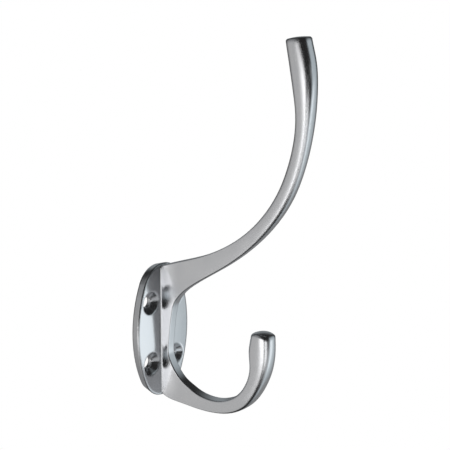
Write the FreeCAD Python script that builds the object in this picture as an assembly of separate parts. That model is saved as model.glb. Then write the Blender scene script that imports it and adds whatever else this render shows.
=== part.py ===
import FreeCAD, Part
import math
import os

# Hat and coat hook, cast in one piece: an oval backplate, a rib standing on it, a tall swept arm
# above and a small upturned hook below.
# Millimetres. The origin is the middle of the plate's back, on the wall: X across the plate, Z up,
# and the arms reach out towards -Y.
os.makedirs("parts", exist_ok=True)

# Backplate
plate_width = 30.0
plate_height = 54.0
plate_thickness = 4.0
plate_undercut = 1.2           # how far its edge slopes in on its way back to the wall
plate_edge_break = 0.4
plate_end_radius = 11.5        # top and bottom of the oval; its flanks follow from this

# Screw holes, two each side of the rib
hole_spacing_x = 0.48 * plate_width
hole_spacing_z = 24.6
hole_diameter = 4.6
countersink_diameter = 0.3 * plate_width
hole_edge_break = 0.15

# Arms: how far the centre line stands out from the plate, and how far above its top or bottom edge
upper_reach = 69.0
upper_rise = 90.65
lower_reach = 52.4
lower_rise = 35.85

# Section of the casting at the rib and at the two tips
rib_width = 3.8
rib_edge_radius = 0.4
rib_crown = 2.0                # degrees that a face leans back from its middle to its edge
upper_tip_width = 6.8
upper_tip_edge_radius = 2.3
upper_tip_crown = 14.0
lower_tip_width = 6.6
lower_tip_edge_radius = 1.9
lower_tip_crown = 12.0
root_fillet = 0.35             # between the rib and the plate

# Ends of the arms: radius of the shallow dome, then the rounding of its rim
upper_end_radius = 22.0
upper_end_rounding = 0.9
lower_end_radius = 9.0
lower_end_rounding = 1.2

# Stations down each arm, tip first: share of the reach, share of the rise, heading of the arm in
# degrees above the outward direction, depth of the section, then how far its width, its rounding
# and its crown have grown from the rib's to the tip's
upper_stations = [
    (0.897, 1.000, 98.0, 9.1, 1.00, 1.00, 1.00),
    (0.923, 0.910, 97.0, 9.6, 0.96, 0.95, 0.85),
    (0.941, 0.811, 95.0, 8.5, 0.84, 0.72, 0.65),
    (0.947, 0.710, 91.0, 6.4, 0.62, 0.30, 0.50),
    (0.934, 0.611, 82.0, 5.5, 0.38, 0.10, 0.45),
    (0.899, 0.503, 73.0, 5.5, 0.15, 0.03, 0.45),
    (0.838, 0.388, 63.0, 5.5, 0.08, 0.00, 0.45),
    (0.742, 0.277, 51.0, 5.4, 0.05, 0.00, 0.40),
    (0.601, 0.168, 39.0, 5.6, 0.02, 0.00, 0.20),
    (0.436, 0.079, 32.0, 6.7, 0.00, 0.00, 0.10),
    (0.287, 0.018, 29.0, 8.4, 0.00, 0.00, 0.00),
    (0.162, -0.029, 30.0, 10.9, 0.00, 0.00, 0.00),
]
lower_stations = [
    (0.917, 1.000, 91.0, 8.6, 1.00, 1.00, 1.00),
    (0.908, 0.794, 90.0, 9.7, 1.02, 0.80, 0.85),
    (0.901, 0.599, 82.0, 7.9, 0.98, 0.60, 0.65),
    (0.853, 0.390, 66.0, 6.3, 0.92, 0.50, 0.50),
    (0.764, 0.212, 43.0, 5.9, 0.88, 0.40, 0.45),
    (0.635, 0.097, 20.0, 5.5, 0.62, 0.25, 0.35),
    (0.487, 0.047, 0.0, 5.2, 0.34, 0.10, 0.20),
    (0.325, 0.055, -12.0, 6.4, 0.14, 0.00, 0.10),
    (0.211, 0.086, -32.0, 9.1, 0.04, 0.00, 0.00),
]

# Stations down the rib between the arms. First its back edge, sunk in the plate or running into the
# edge of an arm, then its open front edge: how far each stands out from the plate's face, and its
# height as a share of half the plate's height
rib_stations = [
    (1.8, 0.991, 9.7, 0.589),
    (-1.6, 0.914, 7.4, 0.479),
    (-1.6, 0.639, 5.9, 0.334),
    (-1.6, 0.309, 4.9, 0.139),
    (-1.6, -0.061, 4.1, -0.121),
    (-1.6, -0.401, 3.9, -0.326),
    (-1.6, -0.681, 5.3, -0.461),
    (-1.6, -0.896, 7.7, -0.591),
    (2.3, -1.001, 10.5, -0.684),
]

half_height = plate_height / 2


def arc(start, apex, end):
    """Circular arc between two points, from where its end tangents meet."""
    to_start = start - apex
    to_end = end - apex
    curve = Part.BezierCurve()
    curve.setPoles([start, apex, end])
    curve.setWeight(2, math.sin(to_start.getAngle(to_end) / 2))
    return curve.toShape()


def bowed_section(back, front, width, radius, crown):
    """Closed wire across the casting, from a point (y, z) on its back edge to one on its front: a
    rounded rectangle whose four faces bow out a little, tangent to its corners. Each corner is two
    arcs."""
    lean = math.radians(crown)
    depth = math.hypot(front[0] - back[0], front[1] - back[1])
    along = FreeCAD.Vector(0, (front[0] - back[0]) / depth, (front[1] - back[1]) / depth)
    middle = FreeCAD.Vector(0, (front[0] + back[0]) / 2, (front[1] + back[1]) / 2)

    # centre of a corner, placed so that the bowed faces reach the full width and depth
    bow = math.tan(lean / 2)
    room_x = width / 2 - radius
    room_y = depth / 2 - radius
    corner_x = (room_x - bow * room_y) / (1 - bow * bow)
    corner_y = (room_y - bow * room_x) / (1 - bow * bow)

    def round_corner(angle, distance):
        return corner_x + distance * math.cos(angle), corner_y + distance * math.sin(angle)

    # one quarter of the ring, from the side face's apex to the edge face's: ends and apexes in turn
    half_arc = math.pi / 8 - lean / 2
    apex_distance = radius / math.cos(half_arc)
    side_end = round_corner(lean, radius)
    edge_end = round_corner(math.pi / 2 - lean, radius)
    quarter = [side_end, round_corner(lean + half_arc, apex_distance),
               round_corner(math.pi / 4, radius),
               round_corner(math.pi / 2 - lean - half_arc, apex_distance), edge_end]
    side_apex = (side_end[0] + side_end[1] * math.tan(lean), 0)
    edge_apex = (0, edge_end[1] + edge_end[0] * math.tan(lean))
    half = [side_apex] + quarter + [edge_apex] + [(-x, y) for x, y in reversed(quarter)]
    ring = [middle + along * y + FreeCAD.Vector(x, 0, 0) for x, y in half + [(-x, -y) for x, y in half]]
    ends = ring[1::2]
    apexes = ring[2::2] + ring[:1]
    return Part.Wire([arc(*three) for three in zip(ends, apexes, ends[1:] + ends[:1])])


def tip_of(stations, reach, rise, base):
    """Middle of an arm's end, and the direction the arm points there."""
    out, up, heading = stations[0][:3]
    turn = math.radians(heading)
    return (FreeCAD.Vector(0, -reach * out, base + rise * up),
            FreeCAD.Vector(0, -math.cos(turn), math.sin(turn)))


def arm_sections(stations, reach, rise, base, tip, side):
    """Sections of one arm, tip first. Side is 1 where the arm's back is its upper edge, else -1.
    The first one lies past the tip, for the dome to be cut from."""
    tip_width, tip_radius, tip_crown = tip
    wires = []
    for out, up, heading, depth, wider, rounder, fuller in stations:
        y = -reach * out
        z = base + rise * up
        turn = math.radians(heading)
        half_y = side * math.sin(turn) * depth / 2
        half_z = side * math.cos(turn) * depth / 2
        wires.append(bowed_section(
            (y + half_y, z + half_z), (y - half_y, z - half_z),
            rib_width + (tip_width - rib_width) * wider,
            rib_edge_radius + (tip_radius - rib_edge_radius) * rounder,
            rib_crown + (tip_crown - rib_crown) * fuller))
    past_tip = wires[0].copy()
    past_tip.translate(tip_of(stations, reach, rise, base)[1])
    return [past_tip] + wires


def arms_and_rib():
    """The whole sweep in one skin, from the upper tip down through the rib to the lower tip."""
    upper = arm_sections(upper_stations, upper_reach, upper_rise, half_height,
                         (upper_tip_width, upper_tip_edge_radius, upper_tip_crown), 1)
    rib = [bowed_section((-back, half_height * back_up), (-front, half_height * front_up),
                         rib_width, rib_edge_radius, rib_crown)
           for back, back_up, front, front_up in rib_stations]
    lower = arm_sections(lower_stations, lower_reach, lower_rise, -half_height,
                         (lower_tip_width, lower_tip_edge_radius, lower_tip_crown), -1)
    return Part.makeLoft(upper + rib + lower[::-1], True, False)


def domed_end(sweep, tip, onward, dome_radius, rounding):
    """Trims the end of an arm to a shallow dome and rounds the dome's rim."""
    ball = Part.makeSphere(dome_radius)
    ball.Placement = FreeCAD.Placement(tip - onward * dome_radius,
                                       FreeCAD.Rotation(FreeCAD.Vector(-1, 0, 0), onward))
    beyond = Part.makeCylinder(dome_radius, dome_radius, tip - onward * dome_radius / 3, onward)
    trimmed = sweep.cut(beyond.cut(ball)).Solids[0]
    rim = [edge for face in trimmed.Faces for edge in face.Edges
           if face.Surface.TypeId == "Part::GeomSphere" and (face.CenterOfMass - tip).Length < dome_radius]
    return trimmed.makeFillet(rounding, rim)


def oval(inset, y):
    """Four-arc oval parallel to the wall, inset all round from the plate's outline."""
    a = plate_width / 2
    b = half_height
    r = plate_end_radius
    flank_radius = (a * a + (b - r) ** 2 - r * r) / (2 * (a - r))
    turn = math.atan2(b - r, flank_radius - a)
    joint_x = a - flank_radius + (flank_radius - inset) * math.cos(turn)
    joint_z = (flank_radius - inset) * math.sin(turn)

    def at(x, z):
        return FreeCAD.Vector(x, y, z)

    return Part.Wire([
        Part.Arc(at(joint_x, -joint_z), at(a - inset, 0), at(joint_x, joint_z)).toShape(),
        Part.Arc(at(joint_x, joint_z), at(0, b - inset), at(-joint_x, joint_z)).toShape(),
        Part.Arc(at(-joint_x, joint_z), at(inset - a, 0), at(-joint_x, -joint_z)).toShape(),
        Part.Arc(at(-joint_x, -joint_z), at(0, inset - b), at(joint_x, -joint_z)).toShape(),
    ])


def rim_edges(plate):
    """Edges round the plate's front face."""
    return [edge for edge in plate.Edges if edge.BoundBox.YMax < 0.01]


def screw_hole():
    """What the drill and countersink take out: a turned tool at the origin, pointing along +Y."""
    mouth = countersink_diameter / 2
    bore = hole_diameter / 2
    outline = [(0, -1), (mouth + hole_edge_break, -1), (mouth + hole_edge_break, 0),
               (mouth - hole_edge_break / 2, hole_edge_break / 2), (bore, mouth - bore),
               (bore, plate_thickness + 1), (0, plate_thickness + 1), (0, -1)]
    half = Part.Face(Part.makePolygon([FreeCAD.Vector(radius, depth, 0) for radius, depth in outline]))
    return half.revolve(FreeCAD.Vector(0, 0, 0), FreeCAD.Vector(0, 1, 0), 360)


# Drawn with the plate's face at y = 0, where the rib stands, then set back so that the wall is y = 0
sweep = arms_and_rib()
sweep = domed_end(sweep, *tip_of(upper_stations, upper_reach, upper_rise, half_height),
                  upper_end_radius, upper_end_rounding)
sweep = domed_end(sweep, *tip_of(lower_stations, lower_reach, lower_rise, -half_height),
                  lower_end_radius, lower_end_rounding)

# Backplate with its edge sloping in behind, and the sweep rising out of it with a fillet all round
slab = Part.makeLoft([oval(0, 0), oval(plate_undercut, plate_thickness)], True, True)
hook = slab.fuse(sweep).removeSplitter().Solids[0]
foot = [edge for edge in hook.Edges
        if abs(edge.BoundBox.YMin) < 0.01 and abs(edge.BoundBox.YMax) < 0.01
        and edge.BoundBox.XMin > -rib_width and edge.BoundBox.XMax < rib_width]
hook = hook.makeFillet(root_fillet, foot)

# Front edge of the plate broken, then the four screw holes
hook = hook.cut(slab.cut(slab.makeChamfer(plate_edge_break, rim_edges(slab))))
for x in (-hole_spacing_x / 2, hole_spacing_x / 2):
    for z in (-hole_spacing_z / 2, hole_spacing_z / 2):
        tool = screw_hole()
        tool.translate(FreeCAD.Vector(x, 0, z))
        hook = hook.cut(tool)

hook = hook.Solids[0]
hook.translate(FreeCAD.Vector(0, -plate_thickness, 0))
hook.exportStep("parts/hook.step")
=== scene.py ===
import math

import bpy
from mathutils import Matrix, Vector


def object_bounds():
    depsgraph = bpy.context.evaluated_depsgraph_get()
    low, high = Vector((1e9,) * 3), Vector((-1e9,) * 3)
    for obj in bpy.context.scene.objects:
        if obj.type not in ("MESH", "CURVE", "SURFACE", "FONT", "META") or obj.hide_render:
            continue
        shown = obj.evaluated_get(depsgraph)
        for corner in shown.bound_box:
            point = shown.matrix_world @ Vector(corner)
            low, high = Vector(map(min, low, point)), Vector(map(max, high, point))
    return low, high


# Hat and coat hook: one satin-polished casting, shown off its wall and lit for a plain white page.
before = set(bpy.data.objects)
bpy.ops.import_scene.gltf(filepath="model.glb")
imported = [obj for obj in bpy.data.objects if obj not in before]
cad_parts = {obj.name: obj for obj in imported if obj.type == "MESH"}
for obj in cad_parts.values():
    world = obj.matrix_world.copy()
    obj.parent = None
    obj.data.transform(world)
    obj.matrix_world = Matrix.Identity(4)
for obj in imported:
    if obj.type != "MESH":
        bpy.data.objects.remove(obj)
cad_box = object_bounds()
MM = 0.001

# Camera, worked out from the plate, its holes and the arms in the photograph
camera_azimuth = -52.374
camera_elevation = 14.141
camera_distance = 507.88 * MM
lens_mm = 104.0
sensor_mm = 36.0
plate_face = -4.0 * MM          # the plate's front, from the wall
aim_right = 23.98 * MM          # the middle of the picture from the middle of the plate's face
aim_up = 40.44 * MM
plate_middle = 0.25 * MM        # height of that middle above the frame's origin

# What the polisher's belt has left of the casting's flat faces and sharp corners
plate_dome_radius = 190 * MM    # across the plate's face
dome_band = (0.1 * MM, 0.4 * MM)   # distances from that face over which its dome fades out
rib_flare = (10 * MM, 0.13)     # length of the rib that turns out to the plate, and slope at its end
foot_flare = (1.6 * MM, 0.35)   # the same again at its very foot
rim_softening = 1.2 * MM        # of the plate's rim and the corner where the rib stands on it
foot_band = (1.5 * MM, 2.5 * MM)   # distances from the plate's face over which that fades out
root_softening = 0.35 * MM      # of the corners beyond, where the belt can't reach
tip_softening = 2.4 * MM        # of the corners out on the arms
belt_reach = (35 * MM, 62 * MM)    # distances from the wall over which the one becomes the other

# Satin finish
grain = 0.6 * MM                # grit is finer, 0.05 mm; drawn as coarse as the render can show
grain_depth = 0.0002 * MM
grain_roughness = 0.03
belt_marks = 7 * MM             # patches where the belt lay a little longer
belt_roughness = (0.175, 0.215)
noise_span = (0.3, 0.7)         # where most values of a noise lie

# Floor, far enough below the hook for its painted shadow to stay out of the photograph's view
floor_size = 4000 * MM
floor_drop = 60 * MM
shadow_reach = 90 * MM


def linear(hex_colour):
    """sRGB hex to linear RGB with alpha."""
    parts = [int(hex_colour[i:i + 2], 16) / 255 for i in (1, 3, 5)]
    return [p / 12.92 if p <= 0.04045 else ((p + 0.055) / 1.055) ** 2.4 for p in parts] + [1.0]


def add_node(tree, kind, inputs=None, **settings):
    """One node with its settings, and each input set to a value or linked from a socket."""
    node = tree.nodes.new(kind)
    for name, value in settings.items():
        setattr(node, name, value)
    for name, value in (inputs or {}).items():
        if isinstance(value, bpy.types.NodeSocket):
            tree.links.new(value, node.inputs[name])
        else:
            node.inputs[name].default_value = value
    return node


def polished_form(tree, place, grit):
    """Normals of the casting as polishing leaves it: faces that roll off, soft corners and a grain.
    It changes what the metal mirrors and leaves the mesh and its outline alone."""
    across, out, _ = add_node(tree, "ShaderNodeSeparateXYZ", {0: place}).outputs

    # Plate's face: a shallow barrel, as a height in metres that falls away from its middle
    square = add_node(tree, "ShaderNodeMath", {0: across, 1: across}, operation="MULTIPLY").outputs[0]
    on_plate = add_node(tree, "ShaderNodeMapRange", {
        0: out, 1: plate_face - dome_band[1], 2: plate_face - dome_band[0], 3: 0.0,
        4: -0.5 / plate_dome_radius}).outputs[0]
    height = add_node(tree, "ShaderNodeMath", {0: square, 1: on_plate}, operation="MULTIPLY").outputs[0]

    # Rib: its sides flare towards the plate, more and more over the last stretch
    for length, slope in (rib_flare, foot_flare):
        near = add_node(tree, "ShaderNodeMapRange", {
            0: out, 1: plate_face - length, 2: plate_face}).outputs[0]
        curve = add_node(tree, "ShaderNodeMath", {0: near, 1: near}, operation="MULTIPLY").outputs[0]
        height = add_node(tree, "ShaderNodeMath", {0: curve, 1: slope * length / 2, 2: height},
                          operation="MULTIPLY_ADD").outputs[0]
    height = add_node(tree, "ShaderNodeMath", {0: grit, 1: grain_depth, 2: height},
                      operation="MULTIPLY_ADD").outputs[0]

    # Corners: softened a little everywhere, and more so on the plate's rim and out on the arms
    on_arms = add_node(tree, "ShaderNodeMapRange", {
        0: out, 1: -belt_reach[0], 2: -belt_reach[1], 3: root_softening, 4: tip_softening}).outputs[0]
    by_plate = add_node(tree, "ShaderNodeMapRange", {
        0: out, 1: plate_face - foot_band[1], 2: plate_face - foot_band[0], 3: 0.0,
        4: rim_softening}).outputs[0]
    softening = add_node(tree, "ShaderNodeMath", {0: on_arms, 1: by_plate}, operation="MAXIMUM").outputs[0]
    corners = add_node(tree, "ShaderNodeBevel", {"Radius": softening}, samples=8).outputs[0]
    return add_node(tree, "ShaderNodeBump", {"Strength": 1.0, "Distance": 1.0, "Height": height,
                                             "Normal": corners}).outputs[0]


def satin_cast_aluminium():
    """Cast aluminium, tumbled and then belt polished to a satin: mirror images soften but stay
    readable, with a fine even grain and faint patches where the belt lay longer."""
    material = bpy.data.materials.new("satin_polished_cast_aluminium")
    material.use_nodes = True
    tree = material.node_tree
    shader = tree.nodes["Principled BSDF"]
    shader.inputs["Metallic"].default_value = 1.0
    place = add_node(tree, "ShaderNodeTexCoord").outputs["Object"]
    grit = add_node(tree, "ShaderNodeTexNoise", {"Vector": place, "Scale": 1 / grain, "Detail": 2.0,
                                                 "Roughness": 0.6}).outputs[0]
    marks = add_node(tree, "ShaderNodeTexNoise", {"Vector": place, "Scale": 1 / belt_marks,
                                                  "Detail": 3.0}).outputs[0]
    tone = add_node(tree, "ShaderNodeMix", {0: marks, 6: linear("#e2e3e6"), 7: linear("#ebebec")},
                    data_type="RGBA").outputs[2]
    worn = add_node(tree, "ShaderNodeMapRange", {
        0: marks, 1: noise_span[0], 2: noise_span[1], 3: belt_roughness[0],
        4: belt_roughness[1]}).outputs[0]
    roughness = add_node(tree, "ShaderNodeMath", {0: grit, 1: grain_roughness, 2: worn},
                         operation="MULTIPLY_ADD").outputs[0]
    tree.links.new(tone, shader.inputs["Base Color"])
    tree.links.new(roughness, shader.inputs["Roughness"])
    tree.links.new(polished_form(tree, place, grit), shader.inputs["Normal"])
    return material


def photo_camera():
    """Camera where the photographer's stood, aimed past the plate at the middle of the picture."""
    azimuth = math.radians(camera_azimuth)
    elevation = math.radians(camera_elevation)
    towards = Vector((math.sin(azimuth) * math.cos(elevation),
                      -math.cos(azimuth) * math.cos(elevation), math.sin(elevation)))
    right = Vector((math.cos(azimuth), math.sin(azimuth), 0))
    up = towards.cross(right)
    data = bpy.data.cameras.new("photo_camera")
    data.lens = lens_mm
    data.sensor_width = sensor_mm
    data.clip_start = 0.01
    camera = bpy.data.objects.new("photo_camera", data)
    aim = Vector((0, plate_face, plate_middle)) + right * aim_right + up * aim_up
    camera.matrix_world = (Matrix.Translation(aim + towards * camera_distance)
                           @ Matrix((right, up, towards)).transposed().to_4x4())
    bpy.context.collection.objects.link(camera)
    bpy.context.scene.camera = camera
    return camera


# Studio round the metal: soft panels of light. Azimuth is in degrees round from the camera to its
# right, height is the sine of the elevation. Each span is (dark, full, full, dark), and the light
# fades in between.
panels = [
    # azimuth span, height span, colour, strength
    ((-135, -95, -55, -50), (-0.85, -0.65, -0.20, 0.25), "#fdfdfd", 0.48),    # tall, left
    ((-68, -64, -52, -48), (-0.45, -0.35, -0.15, -0.05), "#fdfdfd", 1.35),    # its bright core
    ((-45, -30, -5, 5), (-0.60, -0.40, -0.22, -0.20), "#fbfcfd", 1.40),       # low, in front
    ((50, 70, 110, 135), (-1.10, -0.80, 0.15, 0.95), "#e3eff5", 0.58),        # tall, right
    ((70, 80, 95, 110), (-0.75, -0.55, -0.25, -0.05), "#f2f6f8", 0.62),       # its bright core
    ((-5, 10, 50, 80), (-0.95, -0.65, -0.35, -0.25), "#f2f5f8", 0.45),        # low, right of front
    ((15, 30, 60, 85), (-0.10, 0.00, 0.05, 0.20), "#eef3f6", 0.22),           # strip, right of front
    ((-130, -100, -80, -55), (-0.10, 0.05, 0.40, 0.90), "#eef1f4", 0.28),     # high, behind left
    ((140, 175, 200, 220), (-0.20, 0.00, 0.25, 0.75), "#e6eff4", 0.29),       # high, behind
    ((100, 140, 220, 260), (-0.95, -0.80, -0.40, -0.05), "#f0f2f4", 0.25),    # low, behind
]
ambient = 0.022


def faded(tree, value, span):
    """1 inside the span, falling smoothly to 0 at its outer ends."""
    rise = add_node(tree, "ShaderNodeMapRange", {0: value, 1: span[0], 2: span[1], 3: 0.0, 4: 1.0},
                    interpolation_type="SMOOTHSTEP")
    fall = add_node(tree, "ShaderNodeMapRange", {0: value, 1: span[2], 2: span[3], 3: 1.0, 4: 0.0},
                    interpolation_type="SMOOTHSTEP")
    return add_node(tree, "ShaderNodeMath", {0: rise.outputs[0], 1: fall.outputs[0]},
                    operation="MULTIPLY").outputs[0]


def white_studio(camera):
    """White page to the camera; to the metal, a dark room with soft panels of light. A metal that
    mirrored the page as well would lose the dark bands that show its form."""
    world = bpy.data.worlds.new("white_studio")
    world.use_nodes = True
    tree = world.node_tree
    direction = add_node(tree, "ShaderNodeTexCoord").outputs["Generated"]
    height = add_node(tree, "ShaderNodeSeparateXYZ", {0: direction}).outputs[2]
    rightwards = camera.matrix_world.to_quaternion() @ Vector((1, 0, 0))
    frontwards = rightwards.cross(Vector((0, 0, 1)))
    right, front = [add_node(tree, "ShaderNodeVectorMath", {0: direction, 1: way},
                             operation="DOT_PRODUCT").outputs["Value"] for way in (rightwards, frontwards)]
    turn = add_node(tree, "ShaderNodeMath", {0: right, 1: front}, operation="ARCTAN2").outputs[0]
    azimuth = add_node(tree, "ShaderNodeMath", {0: turn}, operation="DEGREES").outputs[0]
    past_back = add_node(tree, "ShaderNodeMath", {0: azimuth, 1: 360.0}, operation="ADD").outputs[0]
    total = add_node(tree, "ShaderNodeCombineXYZ", {0: ambient, 1: ambient, 2: ambient}).outputs[0]
    for azimuths, heights, colour, strength in panels:
        side = faded(tree, azimuth, azimuths)
        if azimuths[3] > 180:
            side = add_node(tree, "ShaderNodeMath", {0: side, 1: faded(tree, past_back, azimuths)},
                            operation="ADD").outputs[0]
        amount = add_node(tree, "ShaderNodeMath", {0: side, 1: faded(tree, height, heights)},
                          operation="MULTIPLY").outputs[0]
        light = tuple(strength * part for part in linear(colour)[:3])
        total = add_node(tree, "ShaderNodeVectorMath", {0: light, 1: amount, 2: total},
                         operation="MULTIPLY_ADD").outputs[0]
    background = tree.nodes["Background"]
    tree.links.new(total, background.inputs["Color"])
    page = add_node(tree, "ShaderNodeBackground", {"Color": (1, 1, 1, 1), "Strength": 1.0})
    path = add_node(tree, "ShaderNodeLightPath")
    mix = add_node(tree, "ShaderNodeMixShader", {0: path.outputs["Is Camera Ray"],
                                                 1: background.outputs[0], 2: page.outputs[0]})
    tree.links.new(mix.outputs[0], tree.nodes["World Output"].inputs["Surface"])
    bpy.context.scene.world = world


def pale_floor():
    """Plain white floor that glows evenly, with the hook's soft shadow painted into that glow by an
    ambient occlusion node, clear from below. The metal doesn't mirror it: the low panels take its place
    there, as in the photograph."""
    bpy.ops.mesh.primitive_plane_add(size=floor_size, location=(0, 0, cad_box[0][2] - floor_drop))
    floor = bpy.context.object
    floor.name = "floor"
    floor.visible_glossy = False
    material = bpy.data.materials.new("white_floor_painted_shadow")
    material.use_nodes = True
    tree = material.node_tree
    # Painted shadow: an ambient occlusion node darkens the floor's white glow where the hook is near
    shade = add_node(tree, "ShaderNodeAmbientOcclusion", {"Color": linear("#ffffff"),
                                                          "Distance": shadow_reach}, samples=8)
    glow_with_painted_shadow = add_node(tree, "ShaderNodeEmission", {"Color": shade.outputs["Color"], "Strength": 1.0})
    clear = add_node(tree, "ShaderNodeBsdfTransparent")
    under = add_node(tree, "ShaderNodeNewGeometry").outputs["Backfacing"]
    both = add_node(tree, "ShaderNodeMixShader", {0: under, 1: glow_with_painted_shadow.outputs[0], 2: clear.outputs[0]})
    tree.links.new(both.outputs[0], tree.nodes["Material Output"].inputs["Surface"])
    floor.data.materials.append(material)


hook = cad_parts["hook"]
hook.data.materials.clear()
hook.data.materials.append(satin_cast_aluminium())
white_studio(photo_camera())
pale_floor()
bpy.context.scene.view_settings.view_transform = "Standard"
